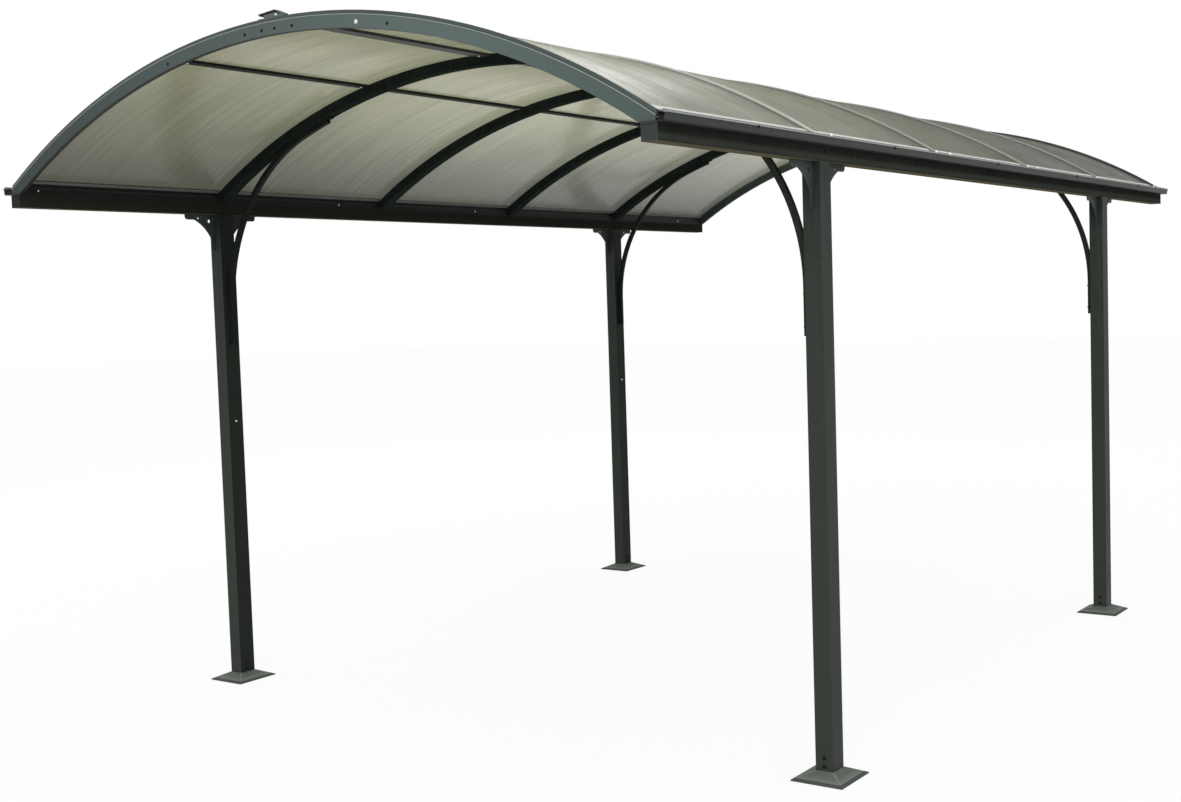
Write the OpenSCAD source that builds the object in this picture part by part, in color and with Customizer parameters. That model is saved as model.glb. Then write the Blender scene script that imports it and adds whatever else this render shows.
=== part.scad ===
// Arched kit carport with four posts, two eave beams with gutters and a barrel roof of clear sheets.
// Millimetres, Z up, length along Y, the origin on the floor under the middle.

/* [Plan] */

// Distance between the outer faces of the two end arches
arch_span = 5000; // [3000:10:6000]

// Distance between the outer faces of the two eave beams
beam_span = 2924; // [2000:1:4000]

// Height of the underside of the eave beams
beam_under = 2032; // [1500:1:2600]

/* [Posts] */

// Width of a post across the carport
post_width = 64; // [40:1:120]

// Depth of a post along the carport
post_depth = 76; // [40:1:120]

// Wall of the posts
post_wall = 2; // [1:0.1:5]

// Thickness of the plate that closes the top of a post
post_plate = 4; // [2:0.5:10]

/* [Feet] */

// Width of the foot cover across the carport
cover_width = 188; // [120:1:300]

// Length of the foot cover along the carport
cover_depth = 204; // [120:1:300]

// Height of the foot cover
cover_height = 30; // [15:1:80]

// Height of the flat rim of the foot cover
cover_rim = 4; // [2:0.5:12]

// Sheet of the foot cover
cover_sheet = 2; // [1:0.1:5]

// Gap between the foot cover and the post
cover_gap = 0.5; // [0.2:0.1:3]

// Width of the anchor plate inside the foot cover
anchor_width = 150; // [100:1:250]

// Length of the anchor plate inside the foot cover
anchor_depth = 164; // [100:1:250]

// Thickness of the anchor plate
anchor_sheet = 4; // [2:0.5:10]

// Diameter of the anchor holes
anchor_hole = 12; // [6:0.5:20]

// Distance of an anchor hole from the edges of its plate
anchor_inset = 18; // [10:1:40]

// Height of the spigot that stands inside the post
spigot_height = 120; // [60:1:300]

// Wall of the spigot
spigot_wall = 3; // [1.5:0.1:6]

// Gap between the spigot and the post
spigot_gap = 0.4; // [0.1:0.1:2]

/* [Eave beams] */

// Width of an eave beam
beam_width = 52; // [40:1:120]

// Height of an eave beam
beam_height = 50; // [40:1:120]

// Wall of the eave beams
beam_wall = 2; // [1:0.1:5]

// Thickness of the plate that closes a beam end
cap_sheet = 4; // [1:0.5:10]

// Depth of the plug that holds the cap in the beam
cap_plug = 14; // [5:1:40]

// Gap between the plug and the beam
cap_gap = 0.3; // [0.1:0.1:2]

/* [Gutters] */

// How far a gutter stands out past the end arches
gutter_over = 8; // [0:1:40]

// Sheet of the gutters
gutter_sheet = 2; // [1:0.1:4]

// Reach of the gutter floor beyond the outer face of the beam
gutter_reach = 30; // [10:1:80]

// How far the outer wall leans out at its top
gutter_lean = 7; // [0:0.5:20]

// Height of the outer wall
gutter_outer = 28; // [15:1:80]

// Height of the inner wall
gutter_inner = 40; // [15:1:80]

// Width of the lip that turns in at the top of the outer wall
gutter_lip = 12; // [10:0.5:30]

// Diameter of the rolled bead between the outer wall and its lip
gutter_bead = 8; // [6:0.5:9]

// Height of the hem that stands on the lip's inner edge
gutter_hem = 4; // [1:0.5:8]

// Gap beside a rib in the inner wall
notch_gap = 1; // [0.5:0.1:5]

/* [Roof arc] */

// Height of the roof's outermost surface over the beams, at the ends of the arched members
eave_rise = 34; // [15:1:80]

// Rise of the roof's outermost surface from there to the ridge
roof_rise = 439; // [250:1:800]

// Distance of the ends of the arched members from the outer faces of the beams
arch_inset = 4; // [0:1:40]

/* [Arches] */

// Width of the ribs along the carport
rib_width = 50; // [24:1:100]

// Width of the two end arches along the carport
arch_width = 18; // [16:1:60]

// Depth of the ribs and of the end arches
rib_depth = 38; // [20:1:80]

// Wall of the ribs and of the end arches
rib_wall = 2; // [1:0.1:5]

// Thickness of the upright edge of an end arch beside the sheet
arch_edge = 3; // [1:0.5:8]

// Diameter of the hole through each end arch
arch_hole = 9; // [3:0.5:20]

// Distance of that hole from the middle
arch_hole_x = 371; // [100:1:1000]

/* [Cover strips] */

// Height of the two end strips over the sheets
strip_height = 12; // [6:0.5:30]

// Distance of an end strip's edges from the faces of its arch
strip_inset = 4; // [3:0.5:5]

// Height of the inner strips over the sheets
inner_strip_height = 7; // [4:0.5:12]

// Width of the inner strips
inner_strip_width = 20; // [14:1:50]

// Sheet of a cover strip
strip_sheet = 2; // [1:0.1:3]

/* [Roof sheets] */

// Thickness of a roof sheet
sheet = 6; // [3:0.5:16]

// Gap between two sheets over a rib
sheet_gap = 8; // [2:0.5:12]

// Gap between a sheet and the upright edge of an end arch
sheet_edge_gap = 1; // [0.5:0.5:1]

// Distance of a sheet's lower edge from the ends of the arched members
sheet_inset = 38; // [0:1:44]

/* [Purlins] */

// Width of the side purlins
purlin_width = 22; // [12:1:80]

// Width of the ridge purlin
ridge_width = 56; // [12:1:100]

// Depth of a purlin
purlin_depth = 10; // [6:1:30]

// Wall of a purlin
purlin_wall = 1.5; // [1:0.1:3]

// Distance of the side purlins from the middle
purlin_x = 515; // [200:1:1200]

// Distance of the ridge purlin to the right of the middle
ridge_x = 90; // [0:1:150]

/* [Braces] */

// Thickness of a brace, seen from the front
brace_thick = 20; // [12:1:60]

// Width of a brace along the carport
brace_width = 20; // [12:1:60]

// Wall of a brace
brace_wall = 2; // [1:0.1:4]

// Radius of the bend of a brace, on its outer side
brace_radius = 752; // [300:1:1200]

// Distance of the lower end of a brace below the beams
brace_drop = 560; // [300:1:900]

// Distance of the upper end of a brace from the inner face of its post
brace_run = 636; // [400:1:1000]

// Length of the tab at the upper end of a brace
brace_tab = 24; // [5:1:60]

// Depth of that tab
brace_tab_depth = 10; // [4:1:20]

// Width of that tab
brace_tab_width = 16; // [8:1:20]

/* [Gussets] */

// Length of a gusset along the beam
gusset_length = 157; // [100:1:250]

// Height of a gusset down the post
gusset_height = 150; // [100:1:250]

// Thickness of a gusset
gusset_sheet = 3; // [2:0.5:12]

// Width of the leg of a gusset
gusset_leg = 20; // [8:1:60]

// Depth of the tip of a gusset
gusset_tip = 23; // [8:1:60]

// Radius of the tip's lower corner
gusset_round = 14; // [1:1:20]

// Radius of the bowed edge of a gusset
gusset_bow = 186; // [100:1:400]

// Distance of that bow's centre beyond the tip
gusset_bow_past = 24; // [0:1:60]

// Distance of that bow's centre below the leg
gusset_bow_drop = 44; // [0:1:80]

// Diameter of the gusset hole near the corner
gusset_hole = 14; // [3:0.5:20]

// Diameter of the two small gusset holes
gusset_hole_small = 8; // [3:0.5:16]

// Distance of the hole near the tip from the post
gusset_tip_hole = 87; // [60:1:140]

// Distance of the hole near the tip below the beam
gusset_tip_drop = 17; // [5:1:18]

// Distance of the corner hole from the post and from the beam
gusset_corner_hole = 28; // [12:1:60]

// Distance of the hole in the leg from the post
gusset_leg_hole = 14; // [5:1:16]

// Distance of the hole in the leg below the beam
gusset_leg_drop = 85; // [50:1:140]

/* [Ridge clips] */

// Length of a ridge clip across the carport
clip_length = 114; // [60:1:200]

// Distance of the middle of a ridge clip to the left of the ridge
clip_left = 12; // [0:1:60]

// Width of a ridge clip along the carport
clip_width = 26; // [10:1:40]

// Height of the upper leaf's free edge over the strip
clip_edge = 17; // [8:1:30]

// Height of the upper leaf's fold over the strip
clip_peak = 24; // [10:1:40]

// Distance of that fold from the closed end of the clip
clip_fold = 36; // [15:1:60]

// Height of the closed end of the clip over the strip
clip_heel = 9; // [5:1:30]

// Sheet of a ridge clip
clip_sheet = 2; // [1:0.5:4]

/* [Hidden] */

$fn = 96;

// Steps of a full circle in OpenSCAD's own mesh of the large arcs
arc_steps = 360;

// How far a cutting tool runs past the face that it cuts
over = 1;

// Positions along the carport: five bays, the posts under the first and the last rib
bay = arch_span / 5;
post_y = 1.5 * bay;
beam_length = arch_span - 2 * cap_sheet;
gutter_length = arch_span + 2 * gutter_over;

// Positions across the carport
beam_out = beam_span / 2;
beam_in = beam_out - beam_width;
post_x = beam_out - post_width / 2;
post_in = beam_out - post_width;
gutter_out = beam_out + gutter_reach;
arch_reach = beam_out - arch_inset;
sheet_reach = arch_reach - sheet_inset;
brace_head = post_in - brace_run;

// Heights
beam_top = beam_under + beam_height;
seat = beam_top + gutter_sheet;
brace_foot = beam_under - brace_drop;

// Radii of the roof, from the outermost surface inwards, and the height of their centre
roof_radius = round((arch_reach * arch_reach + roof_rise * roof_rise) / (2 * roof_rise));
roof_centre = beam_top + eave_rise + roof_rise - roof_radius;
sky = beam_top + eave_rise + roof_rise + over;
strip_under = roof_radius - strip_height;
sheet_under = strip_under - sheet;
rib_under = sheet_under - rib_depth;
sweep = round(asin(arch_reach / rib_under)) + 1;

// The bend of a brace touches the post and the underside of the ribs
bend_x = post_in - brace_radius;
bend_reach = rib_under - brace_radius;
bend_z = round(10 * (roof_centre + sqrt(bend_reach * bend_reach - bend_x * bend_x))) / 10;
bend_tilt = asin(bend_x / bend_reach);
head_tilt = asin(brace_head / rib_under);
tab_tilt = asin((brace_head - brace_tab) / rib_under);

// Turn about the roof's centre that keeps the sections of a brace clear of each other
turn_clear = 0.005;

function rib_y(n) = (n - 2.5) * bay;

// Places its children at a post: side is 1 on the right, end is 1 at the rear
module at_post(side, end) {
  translate([side * post_x, end * post_y, 0]) children();
}

// A profile swept round the roof's centre: its x is the radius, its y the distance to the front
module sweep_arc(half) {
  translate([0, 0, roof_centre])
    rotate([90, 0, 0])
      rotate([0, 0, 90 - half])
        rotate_extrude(angle = 2 * half, $fn = arc_steps) children();
}

// The space over the gutter floor and between the ends of the arched members
module arch_limits(reach) {
  translate([-reach, -beam_length, seat])
    cube([2 * reach, 2 * beam_length, sky - seat]);
}

// A ring profile of the given size with its lower left corner at the origin
module box_profile(size_x, size_y, wall) {
  difference() {
    square([size_x, size_y]);
    translate([wall, wall]) square([size_x - 2 * wall, size_y - 2 * wall]);
  }
}

module post() {
  color([0.25, 0.27, 0.25])
    translate([-post_width / 2, -post_depth / 2, 0])
      difference() {
        translate([0, 0, anchor_sheet])
          cube([post_width, post_depth, beam_under - anchor_sheet]);
        translate([post_wall, post_wall, 0])
          cube([post_width - 2 * post_wall, post_depth - 2 * post_wall, beam_under - post_plate]);
      }
}

// A four-sided pyramid stump with a flat rim, between two heights
module cover_form(inset, top_gap, low) {
  rim_x = cover_width / 2 - inset;
  rim_y = cover_depth / 2 - inset;
  neck_x = post_width / 2 + top_gap;
  neck_y = post_depth / 2 + top_gap;
  rim = cover_rim - inset;
  top = cover_height - inset;
  polyhedron(
    points = [
      [-rim_x, -rim_y, low], [rim_x, -rim_y, low], [rim_x, rim_y, low], [-rim_x, rim_y, low],
      [-rim_x, -rim_y, rim], [rim_x, -rim_y, rim], [rim_x, rim_y, rim], [-rim_x, rim_y, rim],
      [-neck_x, -neck_y, top], [neck_x, -neck_y, top], [neck_x, neck_y, top], [-neck_x, neck_y, top]
    ],
    faces = [
      [0, 1, 2, 3],
      [4, 5, 1, 0], [5, 6, 2, 1], [6, 7, 3, 2], [7, 4, 0, 3],
      [8, 9, 5, 4], [9, 10, 6, 5], [10, 11, 7, 6], [11, 8, 4, 7],
      [11, 10, 9, 8]
    ]
  );
}

module foot_cover() {
  color([0.44, 0.47, 0.45])
    difference() {
      cover_form(0, cover_gap + cover_sheet, 0);
      cover_form(cover_sheet, cover_gap + cover_sheet, -over);
      translate([-post_width / 2 - cover_gap, -post_depth / 2 - cover_gap, -over])
        cube([post_width + 2 * cover_gap, post_depth + 2 * cover_gap, cover_height + 2 * over]);
    }
}

module anchor_foot() {
  shell_x = post_width - 2 * post_wall - 2 * spigot_gap;
  shell_y = post_depth - 2 * post_wall - 2 * spigot_gap;
  hole_x = anchor_width / 2 - anchor_inset;
  hole_y = anchor_depth / 2 - anchor_inset;
  difference() {
    translate([-anchor_width / 2, -anchor_depth / 2, 0])
      cube([anchor_width, anchor_depth, anchor_sheet]);
    for (sx = [-1, 1])
      for (sy = [-1, 1])
        translate([sx * hole_x, sy * hole_y, -over])
          cylinder(d = anchor_hole, h = anchor_sheet + 2 * over);
  }
  translate([-shell_x / 2, -shell_y / 2, anchor_sheet])
    linear_extrude(height = spigot_height)
      box_profile(shell_x, shell_y, spigot_wall);
}

module anchor_feet() {
  color([0.55, 0.56, 0.57])
    for (side = [-1, 1])
      for (end = [-1, 1])
        at_post(side, end) anchor_foot();
}

module beam() {
  color([0.20, 0.21, 0.19])
    translate([beam_in, beam_length / 2, beam_under])
      rotate([90, 0, 0])
        linear_extrude(height = beam_length)
          box_profile(beam_width, beam_height, beam_wall);
}

module beam_cap() {
  plug_inset = beam_wall + cap_gap;
  translate([beam_in, beam_length / 2, beam_under])
    cube([beam_width, cap_sheet, beam_height]);
  translate([beam_in + plug_inset, beam_length / 2, beam_under + plug_inset])
    rotate([90, 0, 0])
      linear_extrude(height = cap_plug)
        box_profile(beam_width - 2 * plug_inset, beam_height - 2 * plug_inset, beam_wall);
}

module beam_caps() {
  color([0.30, 0.32, 0.30])
    for (side = [0, 1])
      for (end = [0, 1])
        mirror([side, 0, 0])
          mirror([0, end, 0]) beam_cap();
}

// The gutter's section, its x across the carport and its y the height above the beam
module gutter_profile() {
  outer_top = gutter_out + gutter_lean;
  bead = gutter_bead / 2;
  wall_top = outer_top - bead / 2;
  lip_top = gutter_outer - bead / 4;
  polygon([
    [beam_in, 0],
    [gutter_out, 0],
    [wall_top, gutter_outer - bead],
    [wall_top - gutter_sheet, gutter_outer - bead],
    [gutter_out - gutter_sheet, gutter_sheet],
    [beam_in + gutter_sheet, gutter_sheet],
    [beam_in + gutter_sheet, gutter_inner],
    [beam_in, gutter_inner]
  ]);
  translate([outer_top - bead, gutter_outer - bead]) circle(r = bead);
  translate([outer_top - gutter_lip, lip_top - gutter_sheet])
    square([gutter_lip - bead, gutter_sheet]);
  translate([outer_top - gutter_lip, lip_top - gutter_sheet])
    square([gutter_sheet, gutter_sheet + gutter_hem]);
}

// Takes the inner wall away where an arched member crosses it
module gutter_notch(from_y, to_y) {
  translate([beam_in - over, from_y, seat])
    cube([gutter_sheet + 2 * over, to_y - from_y, gutter_inner]);
}

module gutter() {
  end_in = arch_span / 2 - arch_width - notch_gap;
  color([0.28, 0.29, 0.28])
    difference() {
      translate([0, gutter_length / 2, beam_top])
        rotate([90, 0, 0])
          linear_extrude(height = gutter_length) gutter_profile();
      for (n = [1 : 4])
        gutter_notch(rib_y(n) - rib_width / 2 - notch_gap, rib_y(n) + rib_width / 2 + notch_gap);
      gutter_notch(end_in, gutter_length / 2 + over);
      gutter_notch(-gutter_length / 2 - over, -end_in);
    }
}

module rib(n) {
  color([0.24, 0.28, 0.27])
    intersection() {
      sweep_arc(sweep)
        translate([rib_under, -rib_y(n) - rib_width / 2])
          box_profile(rib_depth, rib_width, rib_wall);
      arch_limits(arch_reach);
    }
}

// An end arch: a rib with an upright edge that hides the end of the first sheet
module end_arch() {
  hole_radius = rib_under + rib_depth / 2;
  hole_z = roof_centre + sqrt(hole_radius * hole_radius - arch_hole_x * arch_hole_x);
  color([0.36, 0.41, 0.40])
    difference() {
      intersection() {
        sweep_arc(sweep)
          translate([rib_under, arch_span / 2 - arch_width]) {
            box_profile(rib_depth, arch_width, rib_wall);
            translate([rib_depth - rib_wall, arch_width - arch_edge])
              square([rib_wall + sheet, arch_edge]);
          }
        arch_limits(arch_reach);
      }
      translate([arch_hole_x, -arch_span / 2 + arch_width + over, hole_z])
        rotate([90, 0, 0])
          cylinder(d = arch_hole, h = arch_width + 2 * over);
    }
}

// A channel over the edges of the sheets, its middle at a distance from the front
module cover_strip(middle, width, height) {
  color([0.33, 0.36, 0.35])
    intersection() {
      sweep_arc(sweep)
        translate([strip_under, middle - width / 2])
          difference() {
            square([height, width]);
            translate([-over, strip_sheet])
              square([height - strip_sheet + over, width - 2 * strip_sheet]);
          }
      arch_limits(arch_reach);
    }
}

module end_strip() {
  cover_strip(arch_span / 2 - arch_width / 2, arch_width - 2 * strip_inset, strip_height);
}

module inner_strip(n) {
  cover_strip(-rib_y(n), inner_strip_width, inner_strip_height);
}

module roof_sheet(from_y, to_y) {
  color([0.80, 0.82, 0.78, 0.6])
    intersection() {
      sweep_arc(sweep)
        translate([sheet_under, -to_y]) square([sheet, to_y - from_y]);
      arch_limits(sheet_reach);
    }
}

module end_sheet() {
  roof_sheet(-arch_span / 2 + arch_edge + sheet_edge_gap, rib_y(1) - sheet_gap / 2);
}

module inner_sheet(n) {
  roof_sheet(rib_y(n) + sheet_gap / 2, rib_y(n + 1) - sheet_gap / 2);
}

// One purlin section between two ribs, lying under the ridge and turned about the roof's centre
module purlin_section(from_y, to_y, tilt, width) {
  top = sqrt(sheet_under * sheet_under - width * width / 4);
  translate([0, 0, roof_centre])
    rotate([0, tilt, 0])
      translate([-width / 2, to_y, top - purlin_depth])
        rotate([90, 0, 0])
          linear_extrude(height = to_y - from_y)
            box_profile(width, purlin_depth, purlin_wall);
}

module purlin(x, width) {
  end_y = arch_span / 2 - arch_width;
  tilt = asin(x / sheet_under);
  color([0.30, 0.33, 0.31]) {
    for (n = [1 : 3])
      purlin_section(rib_y(n) + rib_width / 2, rib_y(n + 1) - rib_width / 2, tilt, width);
    purlin_section(-end_y, rib_y(1) - rib_width / 2, tilt, width);
    purlin_section(rib_y(4) + rib_width / 2, end_y, tilt, width);
  }
}

// A block swept under the ribs on the right, from one turn about the roof's centre down to another
module under_rib(from_turn, to_turn, upper, depth, width) {
  translate([0, 0, roof_centre])
    rotate([90, 0, 0])
      rotate([0, 0, 90 - from_turn])
        rotate_extrude(angle = from_turn - to_turn, $fn = arc_steps)
          translate([rib_under - upper - depth, -width / 2])
            square([depth, width]);
}

// The upright leg and the bend of a right-hand brace, made smaller by inset on every side
module brace_bend(inset, extra) {
  thick = brace_thick - 2 * inset;
  width = brace_width - 2 * inset;
  translate([post_in - inset - thick, -width / 2, brace_foot - extra])
    cube([thick, width, bend_z - brace_foot + extra]);
  translate([bend_x, 0, bend_z])
    rotate([90, 0, 0])
      rotate_extrude(angle = 90 - bend_tilt + extra, $fn = arc_steps)
        translate([brace_radius - inset - thick, -width / 2])
          square([thick, width]);
}

// A right-hand brace: a bent tube, a head section along the rib and a tab
module brace_form() {
  difference() {
    brace_bend(0, 0);
    brace_bend(brace_wall, over);
  }
  difference() {
    under_rib(bend_tilt - turn_clear, head_tilt, 0, brace_thick, brace_width);
    under_rib(bend_tilt, head_tilt - turn_clear, brace_wall,
      brace_thick - 2 * brace_wall, brace_width - 2 * brace_wall);
  }
  under_rib(head_tilt - 2 * turn_clear, tab_tilt, 0, brace_tab_depth, brace_tab_width);
}

module brace(end) {
  color([0.27, 0.30, 0.29])
    translate([0, end * post_y, 0]) brace_form();
}

// A gusset's outline, its corner where the post meets the beam
module gusset_outline() {
  difference() {
    translate([0, -gusset_height]) square([gusset_length, gusset_height]);
    intersection() {
      translate([gusset_leg, -gusset_height - over])
        square([gusset_length, gusset_height + over - gusset_tip]);
      translate([gusset_length + gusset_bow_past, -gusset_height - gusset_bow_drop])
        circle(r = gusset_bow);
    }
    translate([gusset_length - gusset_round, -gusset_tip - over])
      difference() {
        square([gusset_round + over, gusset_round + over]);
        translate([0, gusset_round + over]) circle(r = gusset_round);
      }
    translate([gusset_tip_hole, -gusset_tip_drop]) circle(d = gusset_hole_small);
    translate([gusset_corner_hole, -gusset_corner_hole]) circle(d = gusset_hole);
    translate([gusset_leg_hole, -gusset_leg_drop]) circle(d = gusset_hole_small);
  }
}

// The rear gusset of a post
module gusset() {
  rotate([90, 0, 90])
    translate([0, 0, -gusset_sheet / 2])
      linear_extrude(height = gusset_sheet) gusset_outline();
}

// The two gussets of a post, under the middle of the beam
module gussets(side, end) {
  color([0.34, 0.37, 0.35])
    translate([side * (beam_out - beam_width / 2), end * post_y, beam_under])
      for (turn = [0, 1])
        mirror([0, turn, 0])
          translate([0, post_depth / 2, 0]) gusset();
}

// The upper leaf's section, its x across the carport and its y the height over the strip's top
module clip_profile() {
  free = -clip_left - clip_length / 2;
  closed = clip_length / 2 - clip_left;
  polygon([
    [free, clip_edge],
    [free, clip_edge - clip_sheet],
    [closed - clip_fold, clip_peak - clip_sheet],
    [closed - clip_sheet, clip_heel - clip_sheet],
    [closed - clip_sheet, clip_sheet / 2],
    [closed, clip_sheet / 2],
    [closed, clip_heel],
    [closed - clip_fold, clip_peak]
  ]);
}

// A folded clip on the top of the front cover strip, its lower leaf on the strip
module ridge_clip() {
  closed_tilt = asin((clip_length / 2 - clip_left) / roof_radius);
  free_tilt = asin((clip_length / 2 + clip_left) / roof_radius);
  front = -arch_span / 2 + strip_inset;
  translate([0, 0, roof_centre])
    rotate([90, 0, 0])
      rotate([0, 0, 90 - closed_tilt])
        rotate_extrude(angle = closed_tilt + free_tilt, $fn = arc_steps)
          translate([roof_radius, -front - clip_width]) square([clip_sheet, clip_width]);
  translate([0, front + clip_width, roof_centre + roof_radius])
    rotate([90, 0, 0])
      linear_extrude(height = clip_width) clip_profile();
}

module ridge_clips() {
  color([0.42, 0.45, 0.44])
    for (end = [0, 1])
      mirror([0, end, 0]) ridge_clip();
}

at_post(-1, -1) post();  // post_front_left
at_post(1, -1) post();  // post_front_right
at_post(-1, 1) post();  // post_rear_left
at_post(1, 1) post();  // post_rear_right
at_post(-1, -1) foot_cover();  // foot_cover_front_left
at_post(1, -1) foot_cover();  // foot_cover_front_right
at_post(-1, 1) foot_cover();  // foot_cover_rear_left
at_post(1, 1) foot_cover();  // foot_cover_rear_right
anchor_feet();
mirror([1, 0, 0]) beam();  // beam_left
beam();  // beam_right
beam_caps();
mirror([1, 0, 0]) gutter();  // gutter_left
gutter();  // gutter_right
end_arch();  // front_arch
rib(1);  // rib_1
rib(2);  // rib_2
rib(3);  // rib_3
rib(4);  // rib_4
mirror([0, 1, 0]) end_arch();  // rear_arch
end_strip();  // cover_strip_front
inner_strip(1);  // cover_strip_1
inner_strip(2);  // cover_strip_2
inner_strip(3);  // cover_strip_3
inner_strip(4);  // cover_strip_4
mirror([0, 1, 0]) end_strip();  // cover_strip_rear
end_sheet();  // roof_sheet_1
inner_sheet(1);  // roof_sheet_2
inner_sheet(2);  // roof_sheet_3
inner_sheet(3);  // roof_sheet_4
mirror([0, 1, 0]) end_sheet();  // roof_sheet_5
purlin(-purlin_x, purlin_width);  // purlin_left
purlin(ridge_x, ridge_width);  // purlin_ridge
purlin(purlin_x, purlin_width);  // purlin_right
mirror([1, 0, 0]) brace(-1);  // brace_front_left
brace(-1);  // brace_front_right
mirror([1, 0, 0]) brace(1);  // brace_rear_left
brace(1);  // brace_rear_right
gussets(-1, -1);  // gussets_front_left
gussets(1, -1);  // gussets_front_right
gussets(-1, 1);  // gussets_rear_left
gussets(1, 1);  // gussets_rear_right
ridge_clips();
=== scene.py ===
# %% [markdown]
# # An arched kit carport, dressed
#
# The measured frame comes first: posts, beams, gutters, arches, sheets, braces and gussets are already there as
# solids, each at its own place. This lesson gives them their finishes and adds the small parts that a maker fits
# last: screws, bolts, edge trims, seals and plugs. The other way would be to model everything again in Blender,
# but then the two models could drift apart, so the frame is loaded and never touched.

# %% Load the frame
import bpy
import numpy as np
from mathutils import Matrix


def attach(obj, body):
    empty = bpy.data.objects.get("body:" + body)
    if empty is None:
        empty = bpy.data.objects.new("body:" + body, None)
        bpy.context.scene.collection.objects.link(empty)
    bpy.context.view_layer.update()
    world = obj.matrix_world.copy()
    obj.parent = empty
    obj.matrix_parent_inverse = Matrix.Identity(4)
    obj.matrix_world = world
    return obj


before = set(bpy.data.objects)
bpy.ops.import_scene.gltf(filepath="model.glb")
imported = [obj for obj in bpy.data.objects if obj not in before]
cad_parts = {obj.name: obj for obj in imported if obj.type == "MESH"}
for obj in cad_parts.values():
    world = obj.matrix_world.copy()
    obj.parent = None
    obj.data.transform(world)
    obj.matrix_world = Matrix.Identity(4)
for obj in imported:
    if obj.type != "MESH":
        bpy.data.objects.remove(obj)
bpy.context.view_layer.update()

# %% [markdown]
# ## The camera
#
# The photograph was taken from in front and to the right, at eye height, with a normal lens and a slight tilt of
# the hands. A camera could be placed by eye, but this one was solved from many points that are both in the picture
# and on the frame, so it is written as a place, three turns in radians and a lens.

# %% Camera
IMAGE_WIDTH = 1181
SENSOR_WIDTH = 36.0
camera_place = np.array([3.6795, -5.9651, 1.6012])
yaw, pitch, roll = 0.6185, -0.0649, -0.0327
lens_pixels = 1512.22


def turned_axes(yaw, pitch, roll):
    """Right, up and backward directions: a heading turned by yaw, raised by pitch, then rolled about itself."""
    level = np.array([-np.sin(yaw), np.cos(yaw), 0.0])
    right = np.array([np.cos(yaw), np.sin(yaw), 0.0])
    ahead = np.cos(pitch) * level + np.sin(pitch) * np.array([0.0, 0.0, 1.0])
    up = np.cos(pitch) * np.array([0.0, 0.0, 1.0]) - np.sin(pitch) * level
    return np.cos(roll) * right + np.sin(roll) * up, np.cos(roll) * up - np.sin(roll) * right, -ahead


camera_data = bpy.data.cameras.new("front_camera")
camera_data.sensor_width = SENSOR_WIDTH
camera_data.lens = lens_pixels * SENSOR_WIDTH / IMAGE_WIDTH
camera = bpy.data.objects.new("front_camera", camera_data)
bpy.context.scene.collection.objects.link(camera)
axes = np.array(turned_axes(yaw, pitch, roll))
placed = np.eye(4)
placed[:3, :3] = axes.T
placed[:3, 3] = camera_place
camera.matrix_world = Matrix(placed.tolist())
bpy.context.scene.camera = camera
print("lens", round(camera_data.lens, 2), "mm")

# %% [markdown]
# ## Helpers for meshes
#
# Every added part is a surface on a grid: rows along a profile and columns round it. The grid is worked out as one
# array and handed to the mesh whole. Building the same parts from primitive objects would be quicker to write, but
# a grid keeps the exact sizes in view and gives clean faces that point outwards.

# %% Grid and mesh helpers
MM = 0.001


def ring_faces(rows, columns):
    """Quads of a grid that closes round its columns: each joins a point, its right neighbour and the two above."""
    row, column = np.meshgrid(np.arange(rows - 1), np.arange(columns), indexing="ij")
    here = row * columns + column
    right = row * columns + (column + 1) % columns
    return np.stack([here, right, right + columns, here + columns], -1).reshape(-1, 4)


def put_piece(name, points, faces, material, slot, smooth_angle=40.0):
    """Makes one piece from its points in metres and its faces and rides it on the root body. The slot is not used."""
    mesh = bpy.data.meshes.new(name)
    mesh.from_pydata(np.asarray(points, float).reshape(-1, 3).tolist(), [], faces)
    mesh.validate()
    mesh.shade_smooth()
    mesh.set_sharp_from_angle(angle=np.radians(smooth_angle))
    piece = bpy.data.objects.new(name, mesh)
    bpy.context.scene.collection.objects.link(piece)
    mesh.materials.append(material)
    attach(piece, "root")
    print(name, "points", len(mesh.vertices), "faces", len(mesh.polygons))


def turned_heads(places, axes, profile, columns=24):
    """Heads turned about their axes: point = place + height * axis + radius * (cos u * side + sin u * other side).

    Each profile row is radius, height and 0 for a round or 1 for a six-sided outline, whose radius is the flat's
    distance over the cosine of the angle from the middle of that flat."""
    places, axes, profile = np.asarray(places, float), np.asarray(axes, float), np.asarray(profile, float)
    helper = np.where(np.abs(axes[:, 2:3]) > 0.7, [[1.0, 0.0, 0.0]], [[0.0, 0.0, 1.0]])
    side = np.cross(helper, axes)
    side /= np.linalg.norm(side, axis=1, keepdims=True)
    other = np.cross(axes, side)
    turn = np.arange(columns) * 2 * np.pi / columns
    flat = np.cos(np.pi / 6) / np.cos(turn % (np.pi / 3) - np.pi / 6)
    radius = profile[:, :1] * np.where(profile[:, 2:3] > 0.5, flat[None], 1.0)
    ring = np.cos(turn)[None, :, None] * side[:, None, :] + np.sin(turn)[None, :, None] * other[:, None, :]
    points = (places[:, None, None] + profile[None, :, 1, None, None] * axes[:, None, None]
              + radius[None, :, :, None] * ring[:, None])
    rows = len(profile)
    step = (np.arange(len(places)) * rows * columns)[:, None, None]
    quads = (ring_faces(rows, columns)[None] + step).reshape(-1, 4)
    top = ((rows - 1) * columns + np.arange(columns))[None] + step[:, 0]
    bottom = np.arange(columns)[None, ::-1] + step[:, 0]
    return points, quads.tolist() + top.tolist() + bottom.tolist()


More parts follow.
